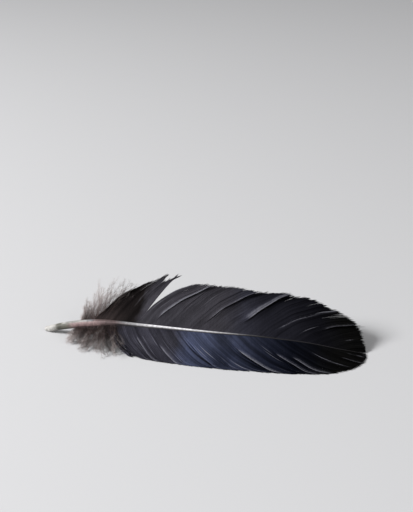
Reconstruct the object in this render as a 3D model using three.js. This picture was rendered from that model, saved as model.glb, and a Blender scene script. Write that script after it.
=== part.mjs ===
// A dark wing feather lying on the ground, hollow side down. Millimetres, +Z up, tip towards +X.
// The near vane (towards -Y) slopes down to the ground, and the far vane (towards +Y) rises.
// A place on the feather is a station t, measured along X from the quill's end, and a width w,
// measured across a vane from the shaft.
import * as THREE from 'three';

// Driving sizes
const LENGTH = 190;          // quill's end to the vane's tip
const SHAFT_END = 184;       // station where the shaft has thinned out
const DOWN_START = 22;       // station of the first downy barbs
const VANE_START = 40;       // station where the closed vane begins
const QUILL_X = -94.96;      // places the ground under the feather's middle at the origin
const QUILL_Y = -5.18;
const WEB_ABOVE = 0.2;       // a web's thickness above and below its middle surface
const WEB_BELOW = 0.55;
const REST = 0.4;            // middle surface's height where a vane lies on the ground
const SOFTNESS = 0.9;        // height over which a vane gives as it meets the ground
const GAP = 0.3;             // clearance between neighbouring pieces
const SHAFT_SIDES = 10;
const SHAFT_STEP = 5;        // spacing of the shaft's rings past its rounded end
const BARB_STEPS = 9;        // facets along a barb
const BARB_PITCH = 4;        // spacing of the barbs that shape a web
const LONGEST_BARB = 90;     // more than any barb's length
const HALVINGS = 30;         // times that the doubt in a barb's length is halved
const TUFT_STEPS = 6;        // facets along and across a tuft of down

// A smooth line through a few points [place, value], held level past its ends
function through(...points) {
  const place = points.map((point) => point[0]);
  const value = points.map((point) => point[1]);
  const last = points.length - 1;
  const span = place.slice(1).map((p, i) => p - place[i]);
  const rise = value.slice(1).map((v, i) => (v - value[i]) / span[i]);
  const slope = value.map((_, i) => {
    if (i === 0) return rise[0];
    if (i === last) return rise[last - 1];
    return (rise[i - 1] * span[i] + rise[i] * span[i - 1]) / (span[i] + span[i - 1]);
  });
  return (at) => {
    const p = Math.min(Math.max(at, place[0]), place[last]);
    const i = Math.max(0, place.findIndex((end) => end >= p) - 1);
    const u = (p - place[i]) / span[i];
    return value[i] * (1 + 2 * u) * (1 - u) ** 2 + value[i + 1] * u * u * (3 - 2 * u)
      + span[i] * u * (1 - u) * (slope[i] * (1 - u) - slope[i + 1] * u);
  };
}

// The shaft's line, bowed up and a little to the near side, and its radius
const shaftSide = through([0, 3.6], [14, 0.3], [36, -2.4], [70, -4.3], [115, -2.6], [150, 1.2],
  [172, 5.6], [190, 11.5]);
const shaftRise = through([0, 0.6], [10, 4.8], [24, 8.9], [40, 11.5], [65, 12.4], [100, 11.8], [140, 10],
  [160, 7.4], [176, 3.6], [190, 0]);
const shaftRadius = through([0, 0.9], [2, 1.65], [8, 1.95], [28, 2.15], [38, 1.95], [48, 1.4], [66, 1], [100, 0.7],
  [140, 0.42], [SHAFT_END, 0.2]);

// Each vane: its width, how its barbs leave the shaft and arrive at the edge (degrees from the
// shaft), its tilt at the shaft (degrees) and how fast it bends down across its width (per mm)
const nearVane = {
  side: -1,
  width: through([22, 6], [30, 14], [42, 18.5], [60, 21.5], [80, 24.3], [105, 26.2], [130, 26.5],
    [150, 26.5], [165, 25], [176, 20.5], [184, 13.5], [188, 7], [190, 0]),
  leave: through([18, 74], [40, 66], [80, 57], [120, 50], [150, 43], [170, 33], [184, 12]),
  arrive: through([18, 50], [40, 38], [80, 27], [120, 20], [150, 14], [170, 9], [184, 3]),
  tilt: through([20, -24], [60, -23], [100, -19], [140, -14], [160, -11], [175, -6], [190, -2]),
  bend: through([20, 0.0055], [60, 0.0095], [100, 0.0085], [140, 0.0075], [165, 0.0065],
    [180, 0.005], [190, 0.002]),
};
const farVane = {
  side: 1,
  width: through([18, 6], [24, 14], [32, 26], [44, 32], [60, 35], [72, 35], [85, 36.2], [100, 36.6],
    [120, 36], [140, 35.6], [153, 36.4], [163, 35.8], [170, 33], [179, 29.3], [184, 25.8], [187, 22.5],
    [189, 18], [190, 0]),
  leave: through([18, 76], [40, 70], [80, 61], [120, 52], [150, 45], [170, 36], [184, 12]),
  arrive: through([18, 56], [40, 48], [80, 34], [120, 23], [150, 15], [170, 9], [184, 3]),
  tilt: through([20, 34], [60, 34], [100, 34], [140, 33], [165, 33], [178, 35], [190, 36]),
  bend: through([20, 0.0035], [60, 0.004], [100, 0.004], [140, 0.004], [170, 0.0045], [190, 0.006]),
};

// Real splits part each vane into webs of hooked barbs: [name, first station, last station,
// degrees that the first and last barbs lean out from the vane's own direction, reach]
const nearWebs = [
  ['near_web_1', VANE_START, 56, 0, 5, 1],
  ['near_web_2', 56, 66, -3, 3, 1],
  ['near_web_3', 66, 85, -3, 2, 1],
  ['near_web_4', 85, 109, -2, 4, 1],
  ['near_web_5', 109, 127, -4, 2, 1],
  ['near_web_6', 127, 133, -2, 2, 1],
  ['near_web_7', 133, 161, -2, 2, 1],
  ['near_web_tip', 161, SHAFT_END, -2, 0, 1],
];
const farWebs = [
  ['far_web_1', VANE_START, 57, 4, 16, 1.1],
  ['far_web_2', 57, 67, -6, 2, 1],
  ['far_web_3', 67, 94, -2, 4, 1],
  ['far_web_4', 94, 106, -5, 3, 1],
  ['far_web_5', 106, 113, -2, 3, 1],
  ['far_web_6', 113, 134, -3, 3, 1],
  ['far_web_7', 134, 152, -4, 3, 1],
  ['far_web_tip', 152, SHAFT_END, -3, 0, 1],
];

const keratin = { color: 0x8d8a88, roughness: 0.45, metalness: 0 };
const vaneNear = { color: 0x353c4c, roughness: 0.55, metalness: 0 };
const vaneFar = { color: 0x37373b, roughness: 0.6, metalness: 0 };
const downy = { color: 0x2b2724, roughness: 0.9, metalness: 0 };

const mix = THREE.MathUtils.lerp;
const radians = THREE.MathUtils.degToRad;

// A closed body from a list of rings of points, with a fan over each end ring
function closeRings(rings) {
  const sides = rings[0].length;
  const points = rings.flat();
  const faces = [];
  for (let i = 0; i + 1 < rings.length; i++) {
    for (let j = 0; j < sides; j++) {
      const a = i * sides + j;
      const b = i * sides + ((j + 1) % sides);
      faces.push([a, b, b + sides], [a, b + sides, a + sides]);
    }
  }
  const lastRing = (rings.length - 1) * sides;
  for (let j = 1; j + 1 < sides; j++) {
    faces.push([0, j + 1, j], [lastRing, lastRing + j, lastRing + j + 1]);
  }
  return outward(points, faces);
}

// A closed body between an upper and a lower grid of points with the same rows and columns
function closeGrids(upper, lower) {
  const rows = upper.length;
  const columns = upper[0].length;
  const points = [...upper.flat(), ...lower.flat()];
  const top = (i, j) => i * columns + j;
  const under = (i, j) => rows * columns + top(i, j);
  const faces = [];
  for (let i = 0; i + 1 < rows; i++) {
    for (let j = 0; j + 1 < columns; j++) {
      faces.push([top(i, j), top(i + 1, j), top(i + 1, j + 1)]);
      faces.push([top(i, j), top(i + 1, j + 1), top(i, j + 1)]);
      faces.push([under(i, j), under(i + 1, j + 1), under(i + 1, j)]);
      faces.push([under(i, j), under(i, j + 1), under(i + 1, j + 1)]);
    }
  }
  const rim = [];
  for (let i = 0; i < rows; i++) rim.push([i, 0]);
  for (let j = 1; j < columns; j++) rim.push([rows - 1, j]);
  for (let i = rows - 2; i >= 0; i--) rim.push([i, columns - 1]);
  for (let j = columns - 2; j > 0; j--) rim.push([0, j]);
  rim.forEach((here, k) => {
    const next = rim[(k + 1) % rim.length];
    faces.push([top(...here), under(...here), under(...next)]);
    faces.push([top(...here), under(...next), top(...next)]);
  });
  return outward(points, faces);
}

// The geometry of a closed set of faces, turned over if they enclose it from inside
function outward(points, faces) {
  const volume = faces.reduce((sum, [a, b, c]) => (
    sum + points[a].dot(new THREE.Vector3().crossVectors(points[b], points[c]))), 0);
  const ordered = volume > 0 ? faces : faces.map(([a, b, c]) => [a, c, b]);
  const geometry = new THREE.BufferGeometry().setFromPoints(points);
  geometry.setIndex(ordered.flat());
  geometry.computeVertexNormals();
  return geometry;
}

function shaftPoint(t) {
  return new THREE.Vector3(QUILL_X + t, QUILL_Y + shaftSide(t), shaftRise(t));
}

// The shaft, quill and rachis in one: rings square to its line, and never below the ground
function shaftGeometry() {
  const stations = [0, 0.7, 2, 5];
  for (let t = 2 * SHAFT_STEP; t < SHAFT_END; t += SHAFT_STEP) stations.push(t);
  stations.push(SHAFT_END);
  const rings = stations.map((t) => {
    const along = shaftPoint(t + 1).sub(shaftPoint(Math.max(t - 1, 0))).normalize();
    const across = new THREE.Vector3(-along.y, along.x, 0).normalize();
    const upward = new THREE.Vector3().crossVectors(along, across);
    return Array.from({ length: SHAFT_SIDES }, (_, k) => {
      const angle = (k / SHAFT_SIDES) * 2 * Math.PI;
      const point = shaftPoint(t)
        .addScaledVector(across, shaftRadius(t) * Math.cos(angle))
        .addScaledVector(upward, shaftRadius(t) * Math.sin(angle));
      point.z = Math.max(point.z, 0);
      return point;
    });
  });
  return closeRings(rings);
}

// A point on a vane's middle surface, which gives where it meets the ground
function vanePoint(vane, t, w) {
  const turn = (shaftSide(t + 1) - shaftSide(t - 1)) / 2;
  const square = Math.hypot(1, turn);
  const tilt = Math.sin(radians(vane.tilt(t)));
  const lean = tilt - vane.bend(t) * w;
  const out = vane.side * w * Math.sqrt(1 - lean * lean);
  const free = shaftRise(t) + w * (tilt - vane.bend(t) * w);
  const giving = REST + SOFTNESS;
  const z = free < giving ? REST + SOFTNESS * Math.exp((free - giving) / SOFTNESS) : free;
  return new THREE.Vector3(QUILL_X + t - out * turn / square, QUILL_Y + shaftSide(t) + out / square, z);
}

// The places [t, w] along a barb of a given length that leaves the shaft at station t
function walkBarb(vane, start, lean, length) {
  const places = [[start, shaftRadius(start) + GAP]];
  const leave = radians(vane.leave(start));
  const arrive = radians(vane.arrive(start) + lean);
  for (let k = 0; k < BARB_STEPS; k++) {
    const angle = mix(leave, arrive, (k + 0.5) / BARB_STEPS);
    const [t, w] = places[k];
    places.push([t + (Math.cos(angle) * length) / BARB_STEPS, w + (Math.sin(angle) * length) / BARB_STEPS]);
  }
  return places;
}

// A barb that ends on its vane's outline, found by halving the doubt in its length
function barb(vane, start, lean, reach) {
  let short = 1;
  let long = LONGEST_BARB;
  for (let k = 0; k < HALVINGS; k++) {
    const length = (short + long) / 2;
    const [t, w] = walkBarb(vane, start, lean, length)[BARB_STEPS];
    if (t >= LENGTH || w > vane.width(t)) long = length;
    else short = length;
  }
  return walkBarb(vane, start, lean, short * reach);
}

// One web of hooked barbs, as a thin plate that follows them
function webGeometry(vane, first, last, leanFirst, leanLast, reach) {
  const from = first + GAP;
  const to = last - GAP;
  const count = Math.max(3, Math.round((to - from) / BARB_PITCH));
  const middle = Array.from({ length: count + 1 }, (_, i) => {
    const part = i / count;
    return barb(vane, mix(from, to, part), mix(leanFirst, leanLast, part), reach)
      .map(([t, w]) => vanePoint(vane, t, w));
  });
  const shifted = (by) => middle.map((row) => row.map((point) => (
    new THREE.Vector3(point.x, point.y, Math.max(0, point.z + by)))));
  return closeGrids(shifted(WEB_ABOVE), shifted(-WEB_BELOW));
}

// The tufts of down at the vane's base, as thin fans. Their barbs spread from the shaft between
// two stations, out to a reach and along by a swing that change from the first barb (0) to the
// last (1), rise or droop by a slope, and lie on the ground where they meet it.
const tufts = [
  {
    name: 'near_down', side: -1, first: DOWN_START + 1, last: VANE_START - 1, slope: -0.52, thick: 2.4,
    reach: through([0, 8], [0.5, 15], [1, 18]), swing: through([0, -8], [1, 6]),
  },
  {
    name: 'far_down_upper', side: 1, first: DOWN_START - 1, last: VANE_START - 1, slope: 0.55, thick: 2,
    reach: through([0, 13], [0.5, 25], [1, 32]), swing: through([0, -3], [1, 12]),
  },
  {
    name: 'far_down_lower', side: 1, first: DOWN_START + 3, last: VANE_START + 3, slope: -0.78, thick: 2,
    reach: through([0, 14], [0.5, 17], [1, 18]), swing: through([0, -4], [1, 4]),
  },
];
const THINNEST = 0.25;       // part of a tuft's thickness that is left at its rim

function tuftGeometry({ side, first, last, slope, thick, reach, swing }) {
  const upper = [];
  const lower = [];
  for (let i = 0; i <= TUFT_STEPS; i++) {
    const part = i / TUFT_STEPS;
    const station = mix(first, last, part);
    const root = shaftPoint(station);
    const inner = shaftRadius(station) + GAP;
    const above = [];
    const below = [];
    for (let j = 0; j <= TUFT_STEPS; j++) {
      const along = j / TUFT_STEPS;
      const out = mix(inner, reach(part), along);
      const half = (thick / 2) * mix(THINNEST, 1, Math.sin(Math.PI * along));
      const x = root.x + swing(part) * along;
      const y = root.y + side * out;
      const z = root.z + slope * out;
      above.push(new THREE.Vector3(x, y, Math.max(z + half, REST)));
      below.push(new THREE.Vector3(x, y, Math.max(z - half, 0)));
    }
    upper.push(above);
    lower.push(below);
  }
  return closeGrids(upper, lower);
}

const feather = new THREE.Group();

function add(name, geometry, finish) {
  const mesh = new THREE.Mesh(geometry, new THREE.MeshStandardMaterial({ ...finish, flatShading: true }));
  mesh.name = name;
  feather.add(mesh);
}

add('shaft', shaftGeometry(), keratin);
for (const [name, ...shape] of nearWebs) add(name, webGeometry(nearVane, ...shape), vaneNear);
for (const [name, ...shape] of farWebs) add(name, webGeometry(farVane, ...shape), vaneFar);
for (const tuft of tufts) add(tuft.name, tuftGeometry(tuft), downy);

export default feather;
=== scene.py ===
"""A dark wing feather that lies hollow side down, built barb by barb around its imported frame.

A place on the feather is a station t, measured along X from the quill's end, and a width w,
measured across a vane from the shaft, both in millimetres.
"""
import math
from dataclasses import dataclass

import bpy
import numpy as np
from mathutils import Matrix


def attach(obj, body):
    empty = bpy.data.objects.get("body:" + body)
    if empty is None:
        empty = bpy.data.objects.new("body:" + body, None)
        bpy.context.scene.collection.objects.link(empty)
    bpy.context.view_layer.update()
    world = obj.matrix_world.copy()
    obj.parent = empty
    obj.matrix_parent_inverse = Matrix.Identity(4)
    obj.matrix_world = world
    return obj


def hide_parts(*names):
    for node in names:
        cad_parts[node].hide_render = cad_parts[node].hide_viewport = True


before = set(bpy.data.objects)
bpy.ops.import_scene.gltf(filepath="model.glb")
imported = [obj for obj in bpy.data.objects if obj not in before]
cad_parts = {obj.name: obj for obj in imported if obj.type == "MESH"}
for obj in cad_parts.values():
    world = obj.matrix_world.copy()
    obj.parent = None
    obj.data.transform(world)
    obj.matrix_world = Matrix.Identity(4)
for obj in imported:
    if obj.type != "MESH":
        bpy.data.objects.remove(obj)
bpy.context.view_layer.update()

bl_info = {
    "name": "Wing Feather",
    "version": (1, 0, 0),
    "blender": (4, 5, 0),
    "location": "View3D > Sidebar > Feather",
    "description": "Builds a dark wing feather barb by barb, with its quill, webs and down",
    "category": "Add Mesh",
}

MM = 0.001
BODY = "root"
LENGTH = 190.0  # quill's end to the vane's tip
SHAFT_END = 184.0  # station where the shaft has thinned out
QUILL_X = -94.96  # places the ground under the feather's middle at the origin
QUILL_Y = -5.18
REST = 0.22  # height of a barb that lies on the ground
SOFTNESS = 0.9  # height over which a vane gives as it meets the ground


# ---- lines and surfaces

def through(*points):
    """A smooth line through a few points (place, value), held level past its ends."""
    place, value = np.array(points, float).T
    span = np.diff(place)
    rise = np.diff(value) / span
    inner = (rise[:-1] * span[1:] + rise[1:] * span[:-1]) / (span[1:] + span[:-1])
    slope = np.concatenate([rise[:1], inner, rise[-1:]])

    def line(at):
        p = np.clip(at, place[0], place[-1])
        i = np.clip(np.searchsorted(place, p) - 1, 0, len(span) - 1)
        u = (p - place[i]) / span[i]
        bends = span[i] * u * (1 - u) * (slope[i] * (1 - u) - slope[i + 1] * u)
        return value[i] * (1 + 2 * u) * (1 - u) ** 2 + value[i + 1] * u * u * (3 - 2 * u) + bends

    return line


def ease(x):
    """0 below 0, 1 above 1, and smooth between."""
    x = np.clip(x, 0.0, 1.0)
    return x * x * (3 - 2 * x)


def mix(a, b, part):
    return a + (b - a) * part


def unit(v):
    return v / np.maximum(np.linalg.norm(v, axis=-1, keepdims=True), 1e-9)


def settle(z, rest, give):
    """Heights that ease onto the height of rest, over what gives above it."""
    top = rest + give
    return np.where(z < top, rest + give * np.exp((np.minimum(z, top) - top) / give), z)


shaft_side = through((0, 3.6), (14, 0.3), (36, -2.4), (70, -4.3), (115, -2.6), (150, 1.2), (172, 5.6),
                     (190, 11.5))
shaft_rise = through((0, 0.6), (10, 4.8), (24, 8.9), (40, 11.5), (65, 12.4), (100, 11.8), (140, 10),
                     (160, 7.4), (176, 3.6), (190, 0))
shaft_radius = through((0, 0.9), (2, 1.65), (8, 1.95), (28, 2.15), (38, 1.95), (48, 1.5), (66, 1.15),
                       (100, 0.8), (140, 0.42), (SHAFT_END, 0.2))


@dataclass
class Vane:
    """One side of the feather: the lines that shape it."""
    side: int  # -1 near, +1 far
    width: object  # mm from the shaft to the outline
    leave: object  # degrees between a barb's root and the shaft
    arrive: object  # degrees between a barb's end and the shaft
    tilt: object  # degrees that the vane rises at the shaft
    bend: object  # how fast it bends down across its width, per mm
    streaks: float  # how much its barbs differ in tone


NEAR = Vane(
    side=-1,
    width=through((22, 6), (30, 14), (42, 18.5), (60, 21.5), (80, 24.3), (105, 26.2), (130, 26.5),
                  (150, 26.5), (165, 25), (176, 20.5), (184, 13.5), (188, 7), (190, 0)),
    leave=through((18, 74), (40, 66), (80, 57), (120, 50), (150, 43), (170, 33), (184, 12)),
    arrive=through((18, 50), (40, 38), (80, 27), (120, 20), (150, 14), (170, 9), (184, 3)),
    tilt=through((20, -24), (60, -23), (100, -19), (140, -14), (160, -11), (175, -6), (190, -2)),
    bend=through((20, 0.0055), (60, 0.0095), (100, 0.0085), (140, 0.0075), (165, 0.0065), (180, 0.005),
                 (190, 0.002)),
    streaks=1.5,
)
FAR = Vane(
    side=1,
    width=through((18, 6), (24, 14), (32, 26), (44, 32), (60, 35), (72, 35), (85, 36.2), (100, 36.6),
                  (120, 36), (140, 35.6), (153, 36.4), (163, 35.8), (170, 33), (179, 29.3), (184, 25.8),
                  (187, 22.5), (189, 18), (190, 0)),
    leave=through((18, 76), (40, 70), (80, 61), (120, 52), (150, 45), (170, 36), (184, 12)),
    arrive=through((18, 56), (40, 48), (80, 34), (120, 23), (150, 15), (170, 9), (184, 3)),
    tilt=through((20, 34), (60, 34), (100, 34), (140, 33), (165, 33), (178, 35), (190, 36)),
    bend=through((20, 0.0035), (60, 0.004), (100, 0.004), (140, 0.004), (170, 0.0045), (190, 0.006)),
    streaks=0.9,
)


@dataclass
class Web:
    """A web of hooked barbs between two splits of a vane. Pairs are for its first and last barbs."""
    name: str
    first: float  # stations of those barbs
    last: float
    lean: tuple  # degrees that they lean out by their ends
    open_from: tuple  # part of their length where they start to
    lift: tuple  # mm that they stand proud by their ends
    curl: tuple  # mm of shaft over which that fades
    painted_rim: tuple  # how much painted highlight (above 0) or painted shade (below 0) its edge carries
    reach: tuple = ((0, 1), (1, 1))  # length as a part of the outline's, by place in the web
    fray: float = 1.0  # how much its sheaves part
    loose: tuple = (0, 0)  # mm of shaft whose barbs hang loose
    highlight_fade: tuple = (1.1, 1.1)  # mm of shaft over which an edge's painted highlight fades


NEAR_WEBS = (
    Web("near_web_1", 40, 56, (-5, -3), (0.0, 0.3), (0.5, -1.1), (4, 5), (0.7, -0.6), fray=0.5,
        loose=(7.0, 0.0), reach=((0, 0.95), (0.5, 1), (1, 1)), highlight_fade=(3.5, 1.1)),
    Web("near_web_2", 56, 66, (5, -4), (0.15, 0.3), (1.0, -1.0), (4, 4), (1.2, -0.6)),
    Web("near_web_3", 66, 85, (6, -4), (0.35, 0.15), (1.4, -0.9), (5, 6), (1.6, -0.6)),
    Web("near_web_4", 85, 109, (4, -10), (0.15, 0.2), (0.9, -2.2), (4, 9), (0.8, -1.0)),
    Web("near_web_5", 109, 127, (2, -5), (0.25, 0.2), (1.3, -1.2), (6, 7), (1.4, -0.7)),
    Web("near_web_6", 127, 133, (6, -4), (0.3, 0.4), (1.2, -0.8), (4, 3), (1.4, -0.6)),
    Web("near_web_7", 133, 161, (6, -3), (0.4, 0.5), (1.3, -0.6), (5, 5), (1.2, -0.3)),
    Web("near_web_tip", 161, SHAFT_END, (4, 0), (0.5, 0.6), (0.8, 0.0), (4, 4), (0.8, 0.0)),
)
FAR_WEBS = (
    Web("far_web_1", 31, 57, (-5, 19), (0.0, 0.1), (-0.8, 0.5), (5, 5), (-0.3, 0.4), fray=2.2,
        loose=(6.0, 0.0),
        reach=((0, 0.9), (0.35, 1.05), (0.58, 1.24), (0.68, 1.06), (0.86, 1.12), (1, 1.27))),
    Web("far_web_2", 57, 67, (-8, -6), (0.5, 0.03), (0.2, 1.6), (4, 4), (1.0, 2.6), fray=0.8,
        reach=((0, 1), (0.4, 1), (1, 0.93))),
    Web("far_web_3", 67, 94, (14, 0), (0.03, 0.1), (-1.5, 1.7), (5, 7), (-0.75, 1.5),
        reach=((0, 1), (0.6, 1), (1, 0.93))),
    Web("far_web_4", 94, 106, (15, -3), (0.1, 0.12), (-1.3, 0.0), (5, 4), (-0.9, 0.4)),
    Web("far_web_5", 106, 113, (5, 8), (0.12, 0.2), (0.2, 1.8), (2, 5), (-0.4, 1.9),
        reach=((0, 1), (0.4, 1), (1, 0.95)), highlight_fade=(1.1, 3.8)),
    Web("far_web_6", 113, 134, (17, -3), (0.15, 0.02), (-1.2, 0.0), (6, 4), (-0.8, 0.1)),
    Web("far_web_7", 134, 152, (-2, -5), (0.02, 0.4), (0.4, 1.3), (3, 6), (1.8, 0.9),
        reach=((0, 1), (0.6, 1), (1, 0.95)), highlight_fade=(0.8, 1.6)),
    Web("far_web_tip", 152, SHAFT_END, (11, 0), (0.4, 0.6), (-0.8, 0.0), (5, 4), (-0.6, 0.0),
        fray=1.5),
)


def shaft_point(t):
    """Places on the shaft's line, in mm."""
    return np.stack([QUILL_X + t, QUILL_Y + shaft_side(t), shaft_rise(t)], -1)


def vane_point(vane, t, w, lift):
    """Places on a vane's surface, in mm, which gives where it meets the ground."""
    turn = (shaft_side(t + 1) - shaft_side(t - 1)) / 2
    square = np.hypot(1, turn)
    lean = np.sin(np.radians(vane.tilt(t))) - vane.bend(t) * w
    out = vane.side * w * np.sqrt(1 - lean * lean)
    z = settle(shaft_rise(t) + w * lean + lift, REST, SOFTNESS)
    return np.stack([QUILL_X + t - out * turn / square, QUILL_Y + shaft_side(t) + out / square, z], -1)


# ---- barbs

LONGEST_BARB = 90.0
HALVINGS = 30
ROOT_DEPTH = 0.6  # part of the shaft's radius where barbs leave it
LEAN_RATE = 2.2  # how soon they reach their lean
SPLIT_GAP = 0.05  # mm between a split and the next barb
SHEAF_SPAN = (0.5, 1.5)  # least and most width, in sheaf settings
PARTINGS = (0.2, 0.5, 1.4)  # gaps between sheaves, in fray settings
PART_FROM = (0.8, 0.97)  # part of their barbs where they part
LOOSE_SHORTER = 0.45  # part by which loose barbs are shorter at most
LOOSE_STRAY = 5  # how much more their ends stray
LOOSE_SOONER = 0.8  # how much sooner they start to
PAST_TIP = 0.5  # mm that barbs may pass the vane's tip
LEAST_WIDTH = 0.02  # mm that they keep from the shaft's line
CURL_POWER = 1.5  # how late along its barbs a web's edge curls
SHEAF_STEP = 0.09  # mm that sheaves differ in height
SHINGLE_RATE = 1.3  # how soon they do
HOOKED_STEP, LOOSE_STEP = 0.05, 1.2  # mm that ends of barbs differ in height
SHORT_WAVE = (4.3, 9.0)  # mm along and across a vane for each radian
LONG_WAVE = (17.0, 11.0)
WAVES_FROM = 8.0  # mm from the shaft where they are full
STRAND = 4  # barbs
TONE_STEPS = (0.08, 0.09, 0.08)  # how much sheaves, strands and barbs differ
TONES = (0.1, 1)  # least and most
GLINT_END = 1.25  # part of the feather's length where painted glints would end
GLINT_TONE = (0.4, 1.2)  # how much paler the painted glints are
GLINT_PLACE = (0.3, 1.0)  # part of a barb where they lie
GLINT_SIZE = 0.16  # part of it that they take
GLINT_LIFT = 0.15  # mm that their barbs stand proud
SHADED = 3.6  # mm of shaft over which a covered edge is shaded
SHADE_WIDTH = (0.3, 1.2)  # part of that at the shaft, and its gain along a barb
RIM_RATE = 8  # how soon along its barbs an edge's painted highlight or painted shade sets in
DARKEST = -0.24  # least tone in shade


def walk_barbs(vane, start, lean, open_from, length, steps):
    """Stations and widths along barbs of given lengths that leave the shaft at start."""
    middle = (np.arange(steps) + 0.5) / steps
    opening = ease((middle - open_from[:, None]) / (1 - open_from[:, None]) * LEAN_RATE)
    angle = mix(vane.leave(start)[:, None], vane.arrive(start)[:, None], middle) + lean[:, None] * opening
    angle = np.radians(angle)
    step = length[:, None] / steps
    root = np.zeros((len(start), 1))
    t = start[:, None] + np.cumsum(np.hstack([root, np.cos(angle) * step]), 1)
    w = shaft_radius(start)[:, None] * ROOT_DEPTH + np.cumsum(np.hstack([root, np.sin(angle) * step]), 1)
    return t, w


def barb_lengths(vane, start, lean, open_from, steps):
    """Lengths with which the barbs end on the vane's outline, by halving the doubt in them."""
    short, long = np.ones(len(start)), np.full(len(start), LONGEST_BARB)
    for _ in range(HALVINGS):
        length = (short + long) / 2
        t, w = walk_barbs(vane, start, lean, open_from, length, steps)
        past = (t[:, -1] >= LENGTH) | (w[:, -1] > vane.width(t[:, -1]))
        long = np.where(past, length, long)
        short = np.where(past, short, length)
    return short


def barb_stations(vane, first, last, pitch):
    """Stations of a web's barbs, so that they stand one pitch apart square to themselves."""
    stations = [first + SPLIT_GAP]
    while stations[-1] < last:
        leave = math.radians(float(vane.leave(stations[-1])))
        stations.append(stations[-1] + pitch / math.sin(leave))
    return np.array(stations[:-1])


def sheaves(rng, start, least, most):
    """Groups neighbouring barbs in sheaves: each barb's sheaf and its place in it, 0 to 1."""
    edges = [start[0]]
    while edges[-1] < start[-1]:
        edges.append(edges[-1] + rng.uniform(least, most))
    edges = np.array(edges)
    sheaf = np.clip(np.searchsorted(edges, start, side="right") - 1, 0, len(edges) - 2)
    return sheaf, (start - edges[sheaf]) / (edges[sheaf + 1] - edges[sheaf]), len(edges)


def looseness(distance, reach):
    """1 at a web's edge, and 0 from its reach of loose barbs on."""
    return np.clip(1 - distance / reach, 0, 1) if reach else 0.0 * distance


def web_barbs(vane, web, shape):
    """The lines of a web's barbs: places (barbs, rings, 3) in mm, stations, widths and tones."""
    rng = np.random.default_rng(int(web.first * 10) + (1 if vane.side > 0 else 0))
    start = barb_stations(vane, web.first, web.last, shape.pitch)
    count = len(start)
    away = (start - web.first, web.last - start)
    part = away[0] / (web.last - web.first)
    fraction = np.linspace(0, 1, shape.steps + 1)[None, :]
    lean, open_from = mix(*web.lean, part), mix(*web.open_from, part)
    length = barb_lengths(vane, start, lean, open_from, shape.steps) * through(*web.reach)(part)
    loose = np.maximum(looseness(away[0], web.loose[0]), looseness(away[1], web.loose[1]))
    length = length * (1 + rng.normal(0, shape.ragged, count))
    length = length * (1 - rng.uniform(0, LOOSE_SHORTER, count) * loose)
    t, w = walk_barbs(vane, start, lean, open_from, length, shape.steps)
    # the sheaves part by turning their outer ends about the places where they split
    sheaf, place, edges = sheaves(rng, start, *(shape.sheaf * span for span in SHEAF_SPAN))
    opening = rng.choice(PARTINGS, edges) * rng.uniform(0.5, 1.0, edges) * shape.fray * web.fray
    split_from = rng.uniform(*PART_FROM, edges)
    stray = shape.stray * web.fray * (1 + LOOSE_STRAY * loose)
    local = mix(-opening[sheaf], opening[sheaf + 1], place) + rng.normal(0, 1, count) * stray
    local_from = mix(split_from[sheaf], split_from[sheaf + 1], place) * (1 - LOOSE_SOONER * loose)
    local_from = local_from[:, None]
    outer = np.maximum(fraction - local_from, 0)
    turn = np.radians(local[:, None]) * outer / (1 - local_from) * outer * length[:, None]
    dt, dw = np.gradient(t, axis=1), np.gradient(w, axis=1)
    size = np.hypot(dt, dw)
    t = np.minimum(t - dw / size * turn, LENGTH + PAST_TIP)
    w = np.maximum(w + dt / size * turn, LEAST_WIDTH)
    # the web's edges curl up or down past the places where it splits from its neighbours
    ramps = [np.clip((fraction - q) / (1 - q), 0, 1) ** CURL_POWER for q in web.open_from]
    lift = sum(height * np.exp(-near / fade)[:, None] * ramp
               for height, near, fade, ramp in zip(web.lift, away, web.curl, ramps))
    step = rng.normal(0, 1, edges)
    shingle = step[sheaf] * SHEAF_STEP + (place - 0.5) * 0.5 * shape.shingle
    lift = lift + shingle[:, None] * ease(fraction * SHINGLE_RATE)
    lift = lift + rng.normal(0, 1, (count, 1)) * (HOOKED_STEP + LOOSE_STEP * loose[:, None]) * fraction
    short, long = (np.sin(t / wave[0] + w / wave[1]) for wave in (SHORT_WAVE, LONG_WAVE))
    lift = lift + shape.wave * short * long * ease(w / WAVES_FROM)
    # tones: streaks, painted glints, and edges with painted highlight or painted shade
    knots = np.arange(count // STRAND + 2)
    strand = np.interp(np.arange(count) / STRAND, knots, rng.normal(0, 1, len(knots)))
    streaks = (step[sheaf], strand, rng.normal(0, 1, count))
    tone = 0.5 + vane.streaks * sum(size * streak for size, streak in zip(TONE_STEPS, streaks))
    tone = np.clip(tone, *TONES)[:, None] * np.ones_like(fraction)
    # painted glints: a few barbs painted paler over part of their length, and raised a little
    glinting = rng.uniform(0, 1, count) < shape.glints * vane.streaks * (GLINT_END - start / LENGTH)
    glint = np.where(glinting, rng.uniform(*GLINT_TONE, count), 0)[:, None]
    middle = rng.uniform(*GLINT_PLACE, (count, 1))
    tone = tone + glint * np.exp(-((fraction - middle) / GLINT_SIZE) ** 2)
    lift = lift + glint * GLINT_LIFT * fraction
    # a raised edge is painted paler as a highlight, a covered edge darker as painted shade
    for painted_rim, highlight_fade, near, ramp in zip(web.painted_rim, web.highlight_fade, away, ramps):
        fade = highlight_fade if painted_rim > 0 else SHADED * (SHADE_WIDTH[0] + SHADE_WIDTH[1] * fraction)
        tone = tone + painted_rim * np.exp(-near[:, None] / fade) * ease(ramp * RIM_RATE)
    return vane_point(vane, t, w, lift), t, w, np.maximum(tone, DARKEST)


TRIANGLE = np.array([(1, 0), (-0.5, 0.87), (-0.5, -0.87)])
FORWARD = (0.3, 1.1)  # how far barbules bend forward, in lengths
LOWEST_TIP = 0.08  # mm above the ground
TIP_THICK = 0.35  # part of its thickness that a barbule's tip keeps


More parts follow.
